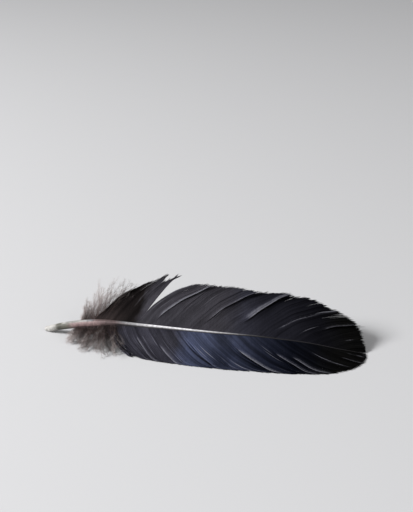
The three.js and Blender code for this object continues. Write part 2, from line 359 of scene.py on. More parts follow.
def tapered(centre, radius, rng):
    """Corners of three-sided tubes round lines (tubes, rings, 3), with a radius at each ring."""
    along = unit(np.gradient(centre, axis=1))
    side = unit(np.cross(along, unit(rng.normal(0, 1, (len(centre), 1, 3)))))
    up = np.cross(along, side)
    return (centre[:, :, None] + side[:, :, None] * (radius[..., None, None] * TRIANGLE[:, :1])
            + up[:, :, None] * (radius[..., None, None] * TRIANGLE[:, 1:]))


def barbule_tubes(lines, owner, spot, size, thick, rng):
    """Barbules: short threads that leave lines at spots, in rings along them, and bend forward."""
    last = lines.shape[1] - 1
    low = np.clip(spot.astype(int), 0, last - 1)
    base = mix(lines[owner, low], lines[owner, low + 1], (spot - low)[:, None])
    along = unit(lines[owner, low + 1] - lines[owner, low])
    out = unit(np.cross(along, unit(rng.normal(0, 1, (len(owner), 3)))))
    tip = base + (out + along * rng.uniform(*FORWARD, (len(owner), 1))) * size[:, None]
    curve = np.stack([base, tip], 1)
    curve[..., 2] = np.maximum(curve[..., 2], LOWEST_TIP)
    return tapered(curve, np.tile([thick, thick * TIP_THICK], (len(owner), 1)), rng)


BARB_SECTION = np.array([(-1, 0), (-0.22, 0.55), (0.22, 0.55), (1, 0.0), (0.2, -0.45), (-0.2, -0.45)])
WEB_SHARE = 0.8  # part of the texture that barbs take
RIDGE_END = 0.35  # part of its height that a ridge keeps
HOOKS_END = (0.92, 0.4)  # part of a barb where hooks shorten, and what they keep
RIBBON_END = (0.95, 0.25)  # the same for its ribbon's width
FRINGE_RIM = 0.5  # how much painted highlight an edge must carry to get loose hooks
FRINGED = 4  # barbs there that carry them
HOOKS = 90  # on each of them
HOOK_PLACE = (0.25, 0.99)  # part of the barb where they stand
HOOK_SIZE = (0.3, 1.1)  # mm
HOOK_THICK = 0.03  # mm
HOOK_TONE = (0.6, 0.5)  # what they keep of their barb's tone, and the painted highlight they add


def ending(fraction, start, kept):
    """1 up to a part of a barb's length, then easing to what is kept at its end."""
    return mix(1, kept, ease((fraction - start) / (1 - start)))


def web_tubes(vane, web, shape):
    """Corners and marks of a web's barbs, each a thin roofed ribbon that meets its neighbours."""
    places, t, w, tone = web_barbs(vane, web, shape)
    along = unit(np.gradient(places, axis=1))
    gap = np.gradient(places, axis=0)
    gap = gap - (gap * along).sum(-1, keepdims=True) * along
    half = np.linalg.norm(gap, axis=-1, keepdims=True) * shape.lap
    up = unit(np.cross(along, gap)) * vane.side
    across = unit(np.cross(up, along))
    fraction = np.linspace(0, 1, places.shape[1])[None, :, None]
    half = np.minimum(half, shape.hooks * ending(fraction, *HOOKS_END)) * ending(fraction, *RIBBON_END)
    height = shape.ridge * mix(1.0, RIDGE_END, fraction)
    corners = (places[:, :, None]
               + across[:, :, None] * (half[:, :, None] * BARB_SECTION[:, :1])
               + up[:, :, None] * (height[:, :, None] * BARB_SECTION[:, 1:]))
    marks = {"station": t / LENGTH, "across": (w / vane.width(t).clip(1)).clip(0, 1.2), "tone": tone}
    groups = [(corners, marks, WEB_SHARE)]
    # loose hooks fringe the barbs of its edges with painted highlights, and are painted paler still
    first, last = range(FRINGED), range(-1, -1 - FRINGED, -1)
    rows = [row for edge, painted_rim in zip((first, last), web.painted_rim) if painted_rim > FRINGE_RIM for row in edge]
    if rows:
        rng = np.random.default_rng(len(rows) + int(web.last))
        owner = np.repeat(rows, HOOKS)
        spot = rng.uniform(*HOOK_PLACE, len(owner)) * (places.shape[1] - 1)
        size = rng.uniform(*HOOK_SIZE, len(owner))
        threads = barbule_tubes(places, owner, spot, size, HOOK_THICK, rng)
        fringe = {key: values[owner, spot.astype(int)] for key, values in marks.items()}
        fringe["tone"] = fringe["tone"] * HOOK_TONE[0] + HOOK_TONE[1]
        groups.append((threads, fringe, 1 - WEB_SHARE))
    return groups


# ---- meshes

# where a tube's sides and caps lie in its own cell of the texture, as parts of the cell
SIDES_U, SIDES_V = (0.03, 0.97), (0.04, 0.96)
CAPS_U = (0.045, 0.955)
CAP_SIZE = (0.012, 0.3)


def tube_mesh(name, groups):
    """One mesh of closed tubes. Each group is corners (tubes, rings, sides, 3) in mm, marks for each
    tube, ring or corner, and the part of the texture it takes. Short tubes lie there in a square."""
    points, loops, starts, uvs, marks = [], [], [], [], {}
    base, start, floor = 0, 0, 0.0
    for corners, group_marks, share in groups:
        tubes, rings, sides, _ = corners.shape
        points.append(corners.reshape(-1, 3))
        for key, values in group_marks.items():
            values = values.reshape(values.shape + (1,) * (3 - values.ndim))
            marks.setdefault(key, []).append(np.broadcast_to(values, corners.shape[:3]).reshape(-1))
        columns = math.ceil(math.sqrt(tubes)) if rings == 2 else 1
        rows = math.ceil(tubes / columns)

        def cell(tube, u, v):
            texture_u = (tube % columns + u) / columns
            texture_v = floor + share * (tube // columns + v) / rows
            return np.stack(np.broadcast_arrays(texture_u, texture_v), -1).reshape(-1, 2)

        tube, ring, side = np.indices((tubes, rings - 1, sides))
        first = (tube * rings + ring) * sides
        after = (side + 1) % sides
        quads = np.stack([first + side, first + after, first + sides + after, first + sides + side], -1)
        u = mix(*SIDES_U, np.stack([ring, ring, ring + 1, ring + 1], -1) / (rings - 1))
        v = mix(*SIDES_V, np.stack([side, side + 1, side + 1, side], -1) / sides)
        loops.append(base + quads.reshape(-1))
        uvs.append(cell(tube[..., None], u, v))
        starts.append(start + 4 * np.arange(quads.size // 4))
        start += quads.size
        turn = 2 * math.pi * np.arange(sides) / sides
        each = np.arange(tubes)[:, None]
        for ring_at, order, middle in ((0, -1, CAPS_U[0]), (rings - 1, 1, CAPS_U[1])):
            caps = base + (each * rings + ring_at) * sides + np.arange(sides)[::order]
            loops.append(caps.reshape(-1))
            uvs.append(cell(each, middle + CAP_SIZE[0] * np.cos(turn), 0.5 + CAP_SIZE[1] * np.sin(turn)))
            starts.append(start + sides * np.arange(tubes))
            start += caps.size
        base += tubes * rings * sides
        floor += share
    mesh = bpy.data.meshes.new(name)
    points, loops, starts = np.concatenate(points) * MM, np.concatenate(loops), np.concatenate(starts)
    mesh.vertices.add(len(points))
    mesh.vertices.foreach_set("co", points.astype(np.float32).ravel())
    mesh.loops.add(len(loops))
    mesh.loops.foreach_set("vertex_index", loops.astype(np.int32))
    mesh.polygons.add(len(starts))
    mesh.polygons.foreach_set("loop_start", starts.astype(np.int32))
    mesh.update(calc_edges=True)
    mesh.validate()
    layer = mesh.uv_layers.new(name="OFBake")
    layer.uv.foreach_set("vector", np.concatenate(uvs).astype(np.float32).ravel())
    for key, values in marks.items():
        mark = mesh.attributes.new(key, "FLOAT", "POINT")
        mark.data.foreach_set("value", np.concatenate(values).astype(np.float32))
    return mesh


def place_piece(replaced, ending, groups, material):
    """Adds a piece of tubes to the scene in place of the CAD node that it is named for."""
    mesh = tube_mesh(replaced + ending, groups)
    mesh.materials.append(material)
    mesh.polygons.foreach_set("use_smooth", np.full(len(mesh.polygons), True))
    piece = bpy.data.objects.new(mesh.name, mesh)
    bpy.context.scene.collection.objects.link(piece)
    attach(piece, BODY)
    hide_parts(replaced)


# ---- materials

class Socket:
    """A socket of a material's nodes that adds Math nodes when it is used in an expression."""

    def __init__(self, nodes, output):
        self.nodes = nodes
        self.output = output

    def math(self, operation, *values):
        return self.nodes.node("ShaderNodeMath", {"operation": operation}, dict(enumerate(values)))

    def __add__(self, other):
        return self.math("ADD", self, other)

    __radd__ = __add__

    def __sub__(self, other):
        return self.math("SUBTRACT", self, other)

    def __rsub__(self, other):
        return self.math("SUBTRACT", other, self)

    def __mul__(self, other):
        return self.math("MULTIPLY", self, other)

    __rmul__ = __mul__


class Finish:
    """A material made of nodes, with a Principled shader at its end."""

    def __init__(self, name, **settings):
        self.material = bpy.data.materials.new(name)
        self.material.use_nodes = True
        self.tree = self.material.node_tree
        self.shader = self.tree.nodes["Principled BSDF"]
        self.set(**settings)

    def node(self, kind, settings=None, inputs=None, output=0):
        """Adds a node: its settings first, then the values or links of its sockets."""
        made = self.tree.nodes.new(kind)
        for key, value in (settings or {}).items():
            if key == "stops":
                self.set_stops(made.color_ramp, value)
            else:
                setattr(made, key, value)
        for key, value in (inputs or {}).items():
            self.feed(made.inputs[key], value)
        return Socket(self, made.outputs[output])

    def set_stops(self, ramp, stops):
        """Stops are places, colours and the part of the colour that is left there."""
        while len(ramp.elements) < len(stops):
            ramp.elements.new(0.5)
        for element, (position, colour, part) in zip(ramp.elements, stops):
            element.position = position
            element.color = (*(part * c for c in colour), 1)

    def feed(self, socket, value):
        if isinstance(value, Socket):
            self.tree.links.new(value.output, socket)
        elif socket.type == "RGBA":
            socket.default_value = (*value, 1)
        else:
            socket.default_value = value

    def set(self, **sockets):
        """Feeds the shader's sockets: base_color is its Base Color, and so on."""
        for key, value in sockets.items():
            self.feed(self.shader.inputs[key.replace("_", " ").title().replace("Ior", "IOR")], value)

    def mark(self, name):
        """A number that the mesh carries at each point."""
        return self.node("ShaderNodeAttribute", {"attribute_name": name}, output=2)

    def between(self, value, low, high):
        """0 below low, 1 above high and smooth between."""
        inputs = {"Value": value, "From Min": low, "From Max": high}
        return self.node("ShaderNodeMapRange", {"interpolation_type": "SMOOTHSTEP"}, inputs)

    def blend(self, part, a, b, kind="MIX"):
        """Colour a where part is 0 and b where it is 1."""
        settings = {"data_type": "RGBA", "blend_type": kind}
        return self.node("ShaderNodeMix", settings, {0: part, 6: a, 7: b}, output=2)

    def spot(self, x, y, z):
        return self.node("ShaderNodeCombineXYZ", None, {0: x, 1: y, 2: z})

    def shaded(self, colour, shade):
        """A colour times a number."""
        return self.blend(1.0, colour, self.spot(shade, shade, shade), "MULTIPLY")

    def ramp(self, place, stops):
        return self.node("ShaderNodeValToRGB", {"stops": stops}, {0: place})

    def noise(self, along, across, depth, waves, detail, roughness):
        where = self.spot(along * waves[0], across * waves[1], depth)
        inputs = {"Vector": where, "Scale": 1.0, "Detail": detail, "Roughness": roughness}
        return self.node("ShaderNodeTexNoise", None, inputs)

    def bump(self, height, strength, distance):
        inputs = {"Strength": strength, "Distance": distance, "Height": height}
        return self.node("ShaderNodeBump", None, inputs)


# places along the feather are parts of its length, and noises have their waves along it and across
GRAIN = (420.0, 6.0)
BLOOM = (26.0, 2.5)
ROSY_ALONG, ROSY_ACROSS = (0.21, 0.29), (0.2, 0.6)  # where the vanes' rosy base fades
HIGHLIGHT_TONES = (0.9, 2.2)  # tones over which barbs take the painted highlight colour
GLOSS_ALONG = (0.55, 0.75)  # where the vanes' gloss fades


def barb_finish(name, stops, root, painted_highlight):
    """The finish of hooked barbs: colours along the vane, rosy at the shaft's base, with painted light and
    shade in their tone.
    """
    finish = Finish(name, specular_ior_level=0.0, coat_roughness=0.4, coat_ior=1.3)
    station, across, tone = (finish.mark(key) for key in ("station", "across", "tone"))
    grain = finish.noise(station, across, tone, GRAIN, 3.0, 0.6)
    bloom = finish.noise(station, across, 0.0, BLOOM, 3.0, 0.6)
    colour = finish.ramp(station + (bloom - 0.5) * 0.07, stops)
    base = 1 - finish.between(station, *ROSY_ALONG)
    base = base * (1 - finish.between(across + bloom * 0.3, *ROSY_ACROSS))
    colour = finish.blend(base, colour, root)
    # tone holds the barbs' own streaks and also painted glints, painted edge highlights and painted shade
    colour = finish.shaded(colour, (0.3 + tone) * (0.45 + grain * 0.6 + bloom * 0.5))
    # barbs of high tone are painted towards the pale highlight colour
    colour = finish.blend(finish.between(tone + (grain - 0.5) * 0.9, *HIGHLIGHT_TONES) * 0.85, colour, painted_highlight)
    gloss = (1 - finish.between(station, *GLOSS_ALONG)) * grain * 0.3
    finish.set(base_color=colour, roughness=0.4 + grain * 0.22, coat_weight=gloss)
    return finish.material


MOTTLE = (130.0, 3.0)
DRIFT = (30.0, 1.5)
FLANK = (0.16, 0.26)  # half turns over which its top goes into its sides
UNDERSIDE, VANED = (0.34, 0.46), (0.2, 0.26)  # half turns and parts of the length where a painted shadow darkens its lower sides along the vanes


def keratin_finish(name, colours):
    """The shaft's horn: waxy at the quill's end, mottled, rosy at the base, pale, then dark; partly painted
    highlight on top, painted shadow low on its sides.
    """
    tip, grey, rose = colours.quill_tip, colours.quill, colours.rose
    pale, dark = colours.rachis, colours.rachis_end
    finish = Finish(name, specular_ior_level=0.3)
    station, around = finish.mark("station"), finish.mark("around")
    # the ridge is painted lighter than the sides, partly the horn's own pale top and partly painted
    # highlight, with a painted highlight spot past the quill's dark band
    side = [(0, tip, 1), (0.034, tip, 0.7), (0.048, grey, 1), (0.08, grey, 1.5), (0.105, rose, 2.2),
            (0.168, rose, 2.4), (0.19, rose, 1.5), (0.215, rose, 1), (0.24, rose, 1), (0.3, pale, 0.3),
            (0.345, pale, 0.6), (0.46, pale, 0.6), (0.56, pale, 0.3), (0.65, dark, 1)]
    ridge = [(0, tip, 1), (0.036, tip, 1), (0.048, grey, 1.5), (0.06, grey, 1.8), (0.07, tip, 1),
             (0.085, tip, 0.5), (0.125, tip, 0.75), (0.158, pale, 0.28), (0.178, rose, 1.4), (0.2, rose, 1),
             (0.238, rose, 0.9), (0.262, pale, 0.2), (0.3, pale, 0.36), (0.345, pale, 0.8), (0.38, pale, 1),
             (0.45, pale, 1), (0.51, pale, 0.8), (0.57, pale, 0.55), (0.62, pale, 0.2), (0.66, pale, 0.08),
             (0.71, dark, 1)]
    mottle = finish.noise(station, around, 0.0, MOTTLE, 4.0, 0.65)
    drift = finish.noise(station, around, 4.0, DRIFT, 2.0, 0.5)
    place = station + (drift - 0.5) * 0.014
    flank, top = finish.ramp(place, side), finish.ramp(place, ridge)
    colour = finish.blend(finish.between(around + (drift - 0.5) * 0.1, *FLANK), top, flank)
    colour = finish.shaded(colour, mottle * 2.2 - 0.1)
    # painted shadow low on its sides where the vanes meet it
    under = finish.between(around, *UNDERSIDE) * finish.between(station, *VANED)
    colour = finish.blend(under * 0.9, colour, dark)
    finish.set(base_color=colour, roughness=0.42 + mottle * 0.25)
    finish.set(normal=finish.bump(mottle, 0.3, 0.0002))
    return finish.material


ROOT_FADE = (0.0, 0.3)  # part of a barb over which its root's colour fades
WISP_FADE = (0.5, 1.35)  # that part and half its tone over which its end turns pale


def down_finish(name, root, middle, end):
    """The finish of loose down: darker inside the tuft and paler at its wisps."""
    finish = Finish(name, roughness=0.8, specular_ior_level=0.05, sheen_weight=0.05, sheen_roughness=0.5)
    across, tone = finish.mark("across"), finish.mark("tone")
    colour = finish.blend(finish.between(across, *ROOT_FADE), root, middle)
    colour = finish.blend(finish.between(across + tone * 0.5, *WISP_FADE), colour, end)
    finish.set(base_color=finish.shaded(colour, 0.2 + tone * 1.15))
    return finish.material


# ---- settings

def size_prop(name, description, default, unit="NONE"):
    return bpy.props.FloatProperty(
        name=name, description=description, default=default, unit=unit, precision=4)


def colour_prop(name, description, default):
    return bpy.props.FloatVectorProperty(
        name=name, description=description, default=default, subtype="COLOR", size=3, min=0, max=1)


class FeatherBarbSettings(bpy.types.PropertyGroup):
    """How the barbs of the vanes stand; lengths are in millimetres."""
    pitch: size_prop("Pitch", "Distance between neighbouring barbs at the shaft, in mm", 0.27)
    steps: bpy.props.IntProperty(
        name="Steps", description="Straight stretches along a barb", default=28, min=8)
    sheaf: size_prop("Sheaf", "Stretch of the shaft whose barbs hold together, in mm", 3.2)
    fray: size_prop("Fray", "Degrees that neighbouring sheaves part by at most", 3.0)
    ragged: size_prop("Raggedness", "How much barb lengths differ", 0.012)
    stray: size_prop("Stray", "Degrees that a barb's end strays", 0.4)
    shingle: size_prop("Shingle", "How much a sheaf tilts over the next one, in mm", 0.25)
    wave: size_prop("Wave", "Height of the vanes' soft waves, in mm", 0.35)
    # glints: the part of the barbs painted paler as glints
    glints: size_prop("Flecks", "Part of the barbs that stand out paler", 0.07)
    lap: size_prop("Lap", "Half width of a barb's web as a part of the pitch", 0.8)
    hooks: size_prop("Hooks", "Farthest that a barb's hooks reach, in mm", 0.6)
    ridge: size_prop("Ridge", "Height of the ridge along a barb, in mm", 0.14)


class FeatherColourSettings(bpy.types.PropertyGroup):
    """Colours of the horn, the vanes and the down."""
    quill_tip: colour_prop("Quill end", "Waxy end of the quill", (0.4, 0.39, 0.37))
    quill: colour_prop("Quill", "Mottled quill", (0.05, 0.048, 0.038))
    rose: colour_prop("Base", "Rosy base of the vanes' shaft", (0.085, 0.058, 0.057))
    rachis: colour_prop("Rachis", "Pale shaft between the vanes", (0.74, 0.725, 0.755))
    rachis_end: colour_prop("Rachis end", "Dark shaft towards the tip", (0.009, 0.008, 0.009))
    vane_root: colour_prop("Vane base", "Barbs where they leave the shaft's base", (0.028, 0.0215, 0.021))
    # the brown by the down is partly the barbs' own colour and partly painted shade in the groove there
    vane_brown: colour_prop("Brown", "Barbs next to the down", (0.0105, 0.0085, 0.0085))
    near_vane: colour_prop("Near vane", "Barbs of the near vane", (0.032, 0.031, 0.042))
    far_vane: colour_prop("Far vane", "Barbs of the far vane", (0.037, 0.035, 0.042))
    # the blue colours paint the vanes' blue sheen into their base colour
    blue: colour_prop("Blue gloss", "Bluish middle of the near vane", (0.054, 0.064, 0.112))
    far_blue: colour_prop("Far blue gloss", "Bluish part of the far vane", (0.024, 0.024, 0.033))
    # the tip's colour is partly its own black and partly painted shade where the tip turns from the light
    vane_tip: colour_prop("Vane tip", "Barbs at the tip", (0.0052, 0.0051, 0.005))
    # colour of the painted highlights on the webs' raised edges
    painted_highlight: colour_prop("Worn edges", "Pale worn edges of the webs", (0.17, 0.17, 0.195))
    down: colour_prop("Down", "Middle of the down", (0.082, 0.054, 0.049))
    down_end: colour_prop("Down ends", "Wisps of the down", (0.4, 0.352, 0.342))


class FeatherStageSettings(bpy.types.PropertyGroup):
    """The floor, the light and the camera."""
    floor: colour_prop("Floor", "Plain pale floor", (0.54, 0.54, 0.55))
    key: size_prop("Key light", "Power of the soft light from the left, in watts", 100.0, "POWER")
    sky: size_prop("Sky", "Strength of the light from all round", 0.3)
    lens: size_prop("Lens", "Focal length in mm", 85.0)


# ---- pieces

# stations and radii of the rings that round the quill's end in
QUILL_END = ((1.2, 0.3), (0.4, 0.6), (0.05, 0.9), (0.05, 1.15), (0.4, 1.4), (1.1, 1.6), (1.9, 1.68))
SHAFT_SPAN = (2.6, LENGTH - 2)  # stations of the other rings
SHAFT_RINGS, SHAFT_SIDES = 420, 40
THREAD = 0.6  # part of its radius that the shaft keeps past its end
SQUARED = (22, 20)  # station where it starts to square, and mm until it has
WIDE_POWER, TALL_POWER = 0.75, 0.85  # how square its sides and its top get
WIDE, TALL = 0.9, 1.05  # half width and half height, in radii
GROOVE_DEPTH, GROOVE_WIDTH = 0.32, 0.42  # of the groove below, in radii and in radians
SHAFT_LOWEST = 0.02  # mm above the ground


class FEATHER_OT_shaft(bpy.types.Operator):
    """Builds the quill and rachis as one grooved, tapering piece of horn"""
    bl_idname = "feather.shaft"
    bl_label = "Shaft"

    def execute(self, context):
        end = np.array(QUILL_END)
        t = np.concatenate([end[:, 0], np.linspace(*SHAFT_SPAN, SHAFT_RINGS)])
        angle = 2 * math.pi * np.arange(SHAFT_SIDES) / SHAFT_SIDES
        centre = shaft_point(t)
        along = unit(shaft_point(t + 0.5) - shaft_point(np.maximum(t - 0.5, 0)))
        across = unit(np.stack([-along[:, 1], along[:, 0], np.zeros(len(t))], -1))
        up = np.cross(along, across)
        radius = shaft_radius(t)
        radius[:len(end)] = end[:, 1]
        radius = np.where(t > SHAFT_END, radius * THREAD, radius)
        centre[:, 2] = np.maximum(centre[:, 2], radius)
        # the rachis is flat-sided and deeper than wide, with a groove below
        squared = ease((t - SQUARED[0]) / SQUARED[1])[:, None]
        c, s = np.cos(angle), np.sin(angle)
        wide = np.sign(c) * np.abs(c) ** mix(1, WIDE_POWER, squared)
        tall = np.sign(s) * np.abs(s) ** mix(1, TALL_POWER, squared)
        groove = np.exp(-((angle - 1.5 * math.pi) / GROOVE_WIDTH) ** 2) * GROOVE_DEPTH * squared
        x = radius[:, None] * wide * mix(1, WIDE, squared)
        y = radius[:, None] * (tall * mix(1, TALL, squared) + groove)
        corners = centre[:, None] + across[:, None] * x[..., None] + up[:, None] * y[..., None]
        corners[..., 2] = np.maximum(corners[..., 2], SHAFT_LOWEST)
        half_turns = np.abs((angle / math.pi + 0.5) % 2 - 1)
        marks = {"station": (t / LENGTH)[None], "around": half_turns[None, None]}
        finish = keratin_finish("keratin", context.scene.feather_colours)
        place_piece("shaft", "_horn", [(corners[None], marks, 1.0)], finish)
        return {"FINISHED"}


def build_webs(context, vane, webs, slot, stops):
    """Builds the webs of a vane with one finish, whose colours change at stops along it."""
    colours = context.scene.feather_colours
    finish = barb_finish(slot, stops, colours.vane_root, colours.painted_highlight)
    for web in webs:
        place_piece(web.name, "_barbs", web_tubes(vane, web, context.scene.feather_barbs), finish)


class FEATHER_OT_near_webs(bpy.types.Operator):
    """Builds the webs of the near vane, barb by barb"""
    bl_idname = "feather.near_webs"
    bl_label = "Near webs"

    def execute(self, context):
        colours = context.scene.feather_colours
        vane, blue = colours.near_vane, colours.blue
        # along the near vane: painted blue sheen in the middle, then darker to the tip, partly the tip's
        # own black and partly painted shade
        stops = [(0.2, vane, 0.8), (0.27, vane, 0.85), (0.33, vane, 1), (0.43, vane, 1), (0.485, blue, 1),
                 (0.53, blue, 0.75), (0.575, blue, 0.32), (0.615, blue, 0.5), (0.68, blue, 0.22),
                 (0.78, blue, 0.075), (0.9, colours.vane_tip, 0.8)]
        build_webs(context, NEAR, NEAR_WEBS, "near_vane_barbs", stops)
        return {"FINISHED"}


class FEATHER_OT_far_webs(bpy.types.Operator):
    """Builds the webs of the raised far vane, barb by barb"""
    bl_idname = "feather.far_webs"
    bl_label = "Far webs"

    def execute(self, context):
        colours = context.scene.feather_colours
        vane, blue = colours.far_vane, colours.far_blue
        brown = colours.vane_brown
        # along the far vane: dark brown by the down, partly painted shade; painted blue sheen past the
        # middle; darker to the tip, partly painted shade
        stops = [(0.2, brown, 1), (0.29, brown, 1), (0.325, vane, 1.2), (0.37, vane, 1), (0.5, vane, 1.2),
                 (0.56, vane, 1.15), (0.63, blue, 1.3), (0.69, blue, 0.65), (0.78, blue, 0.52),
                 (0.86, blue, 0.27), (0.95, colours.vane_tip, 1)]
        build_webs(context, FAR, FAR_WEBS, "far_vane_barbs", stops)
        return {"FINISHED"}


@dataclass
class Wisp:
    """A few loose barbs of down that hang together and share a root, a heading and a bend."""
    station: float  # mm along the shaft
    length: float  # mm
    swing: float  # degrees round from the shaft's line
    rise: float  # degrees above level
    bend: tuple  # degrees that swing and rise change by the end
    count: int  # barbs
    spread: float  # degrees between them
    pale: float  # how much paler they are


class Tuft:
    """The wisps of one side of the base."""

    def __init__(self, name, side, seed, *wisps):
        self.name, self.side, self.seed, self.wisps = name, side, seed, wisps


TUFTS = (
    Tuft("near_down", -1, 5,
         Wisp(22.5, 7, 122, -12, (18, -12), 5, 10, 0.5),
         Wisp(24, 13, 119, -28, (22, 4), 8, 7, 1.0),
         Wisp(25.2, 15, 114, -35, (18, 6), 8, 6, 1.0),
         Wisp(26.5, 13, 109, -37, (6, 0), 9, 9, 0.4),
         Wisp(28, 13, 106, -38, (-6, -4), 10, 9, 0.2),
         Wisp(30, 19, 100, -34, (-4, -6), 9, 6, 0.2),
         Wisp(32.5, 23, 96, -31, (0, -8), 9, 5, 0.6),
         Wisp(34.5, 18, 91, -30, (-10, -8), 9, 8, 0.1),
         Wisp(36.5, 23.5, 87, -28, (-8, -8), 9, 5, 0.5),
         Wisp(38, 20, 82, -30, (-14, -6), 9, 7, 0.1),
         Wisp(39.5, 26.5, 79, -27, (-10, -6), 9, 5, 0.2),
         Wisp(41, 22, 74, -29, (-16, -4), 9, 7, 0.1),
         Wisp(43, 26, 72, -26, (-12, -4), 8, 5, 0.3),
         Wisp(45, 22, 68, -25, (-16, -4), 7, 7, 0.1)),
    Tuft("far_down_upper", 1, 6,
         Wisp(24.5, 7, 108, 44, (4, 20), 7, 10, 1.0),
         Wisp(25.5, 12, 104, 38, (-2, 6), 9, 7, 1.0),
         Wisp(26.5, 17, 101, 35, (-2, 4), 10, 6, 0.9),
         Wisp(28, 19, 97, 34, (-10, 4), 11, 8, 0.8),
         Wisp(29.5, 26, 96, 34, (-6, 2), 11, 5, 1.0),
         Wisp(31, 25, 89, 34, (-18, 2), 12, 7, 0.8),
         Wisp(32.5, 31, 90, 34, (-14, 0), 11, 5, 1.0),
         Wisp(34, 30, 82, 34, (-22, 0), 12, 7, 0.8),
         Wisp(36, 33, 81, 33, (-18, 0), 11, 6, 0.6),
         Wisp(38, 34, 77, 31, (-20, 0), 11, 6, 0.4),
         Wisp(40, 34, 74, 29, (-18, 0), 10, 5, 0.3)),
    Tuft("far_down_lower", 1, 7,
         Wisp(24, 12, 112, -30, (14, -6), 8, 10, 0.5),
         Wisp(27, 15, 106, -36, (8, -2), 9, 9, 0.3),
         Wisp(30, 17, 98, -37, (-4, 0), 10, 9, 0.1),
         Wisp(33, 18, 92, -37, (-10, 0), 10, 9, 0.3),
         Wisp(36, 19, 86, -37, (-12, 0), 10, 9, 0.0),
         Wisp(39.5, 18, 78, -36, (-14, 0), 9, 9, 0.1),
         Wisp(43, 17, 70, -34, (-16, 0), 8, 9, 0.0)),
)
DOWN_STEPS = 16
ROOTS_APART = 0.9  # mm of shaft either way over which roots lie
BARB_LENGTHS = (0.62, 1.05)  # parts of the wisp's length
LOOSE_PART, LOOSE_SPREAD = 0.18, 2.2  # part of its barbs that stray, and how much farther
GATHER = 1.1  # how far the others bend back into it
BEND_SPREAD = 14  # degrees
WAVER = (26, 20)  # degrees that barbs' ends waver in swing and in rise
BEATS = (5, 11)  # radians of that wave
OVER_FROM, OVER_IN = 31, 7  # station where roots start to lie over the shaft, and mm until they do
ROOT_OUT, ROOT_OUT_OVER = 0.5, 0.7  # how far out they lie, in its radii
ROOT_DOWN = 0.65  # how far below its line
DOWN_REST = 0.2  # mm above the ground
DOWN_DEEP = 0.6  # mm by which barbs lie higher at most
DOWN_GIVE = 0.5  # mm over which barbs give there


def wisp_barbs(wisp, side, rng):
    """Lines of a wisp's barbs (barbs, rings, 3) in mm."""
    n = wisp.count
    station = wisp.station + rng.uniform(-ROOTS_APART, ROOTS_APART, n)
    length = wisp.length * rng.uniform(*BARB_LENGTHS, n)
    loose = np.where(rng.uniform(0, 1, n) < LOOSE_PART, LOOSE_SPREAD, 1.0)
    stray = [rng.normal(0, wisp.spread, n) * loose for _ in wisp.bend]
    bend = [amount - away * GATHER / loose ** 2 + rng.normal(0, BEND_SPREAD, n)
            for amount, away in zip(wisp.bend, stray)]
    fraction = np.linspace(0, 1, DOWN_STEPS + 1)[None, :]
    wave = rng.uniform(0, 2 * math.pi, (2, n, 1))
    beat = rng.uniform(*BEATS, (2, n, 1))
    swing, rise = (
        np.radians(wisp_angle + stray[i][:, None] + bend[i][:, None] * fraction
                   + WAVER[i] * np.sin(beat[i] * fraction + wave[i]) * fraction)
        for i, wisp_angle in enumerate((wisp.swing, wisp.rise)))
    level = np.cos(rise)
    heading = np.stack([np.cos(swing) * level, side * np.sin(swing) * level, np.sin(rise)], -1)
    step = heading * (length / DOWN_STEPS)[:, None, None]
    root = shaft_point(station)
    # the barbs leave the shaft's underside, but next to the near vane they lie over it
    over = ease((station - OVER_FROM) / OVER_IN) * (side < 0)
    root[:, 1] += side * shaft_radius(station) * mix(ROOT_OUT, ROOT_OUT_OVER, over)
    root[:, 2] -= shaft_radius(station) * mix(ROOT_DOWN, 0, over)
    centre = root[:, None] + np.cumsum(step, 1) - step
    floor = DOWN_REST + rng.uniform(0, DOWN_DEEP, (n, 1))
    centre[..., 2] = settle(centre[..., 2], floor, DOWN_GIVE)
    return centre


DOWN_SHARE = 0.3  # part of the texture that barbs take
DOWN_TONE = (0.6, 0.5)  # how much pale wisps and single barbs are paler
DOWN_THICK = (0.07, 0.025)  # mm at a barb's root and end
BARBULES = 185  # on each barb
BARBULE_PLACE = (0.05, 0.985)  # part of the barb where they stand
BARBULE_STRAY = 0.004  # part by which they stray
BARBULE_SIZE = (0.6, 2.5)  # mm
BARBULE_END = 0.7  # part of that at the barb's end
BARBULE_THICK = 0.022  # mm


def tuft_tubes(tuft):
    """Down barbs with their loose barbules."""
    rng = np.random.default_rng(tuft.seed)
    lines = np.concatenate([wisp_barbs(wisp, tuft.side, rng) for wisp in tuft.wisps])
    pale = np.concatenate([np.full(wisp.count, wisp.pale) for wisp in tuft.wisps])
    count = len(lines)
    fraction = np.linspace(0, 1, DOWN_STEPS + 1)[None, :]
    tone = np.clip(pale * DOWN_TONE[0] + rng.uniform(0, DOWN_TONE[1], count), 0, 1)
    barbs = tapered(lines, mix(*DOWN_THICK, fraction) * np.ones((count, 1)), rng)
    marks = {"across": fraction, "tone": tone}
    owner = np.repeat(np.arange(count), BARBULES)
    where = np.tile(np.linspace(*BARBULE_PLACE, BARBULES), count)
    where = where + rng.uniform(-BARBULE_STRAY, BARBULE_STRAY, len(owner))
    size = rng.uniform(*BARBULE_SIZE, len(owner)) * mix(1.0, BARBULE_END, where)
    threads = barbule_tubes(lines, owner, where * DOWN_STEPS, size, BARBULE_THICK, rng)
    thread_marks = {"across": where, "tone": tone[owner]}
    return [(barbs, marks, DOWN_SHARE), (threads, thread_marks, 1 - DOWN_SHARE)]


class FEATHER_OT_down(bpy.types.Operator):
    """Builds the tufts of down at the vanes' base"""
    bl_idname = "feather.down"
    bl_label = "Down"

    def execute(self, context):
        colours = context.scene.feather_colours
        finish = down_finish("down_barbs", colours.rose, colours.down, colours.down_end)
        for tuft in TUFTS:
            place_piece(tuft.name, "_barbs", tuft_tubes(tuft), finish)
        return {"FINISHED"}


# ---- stage

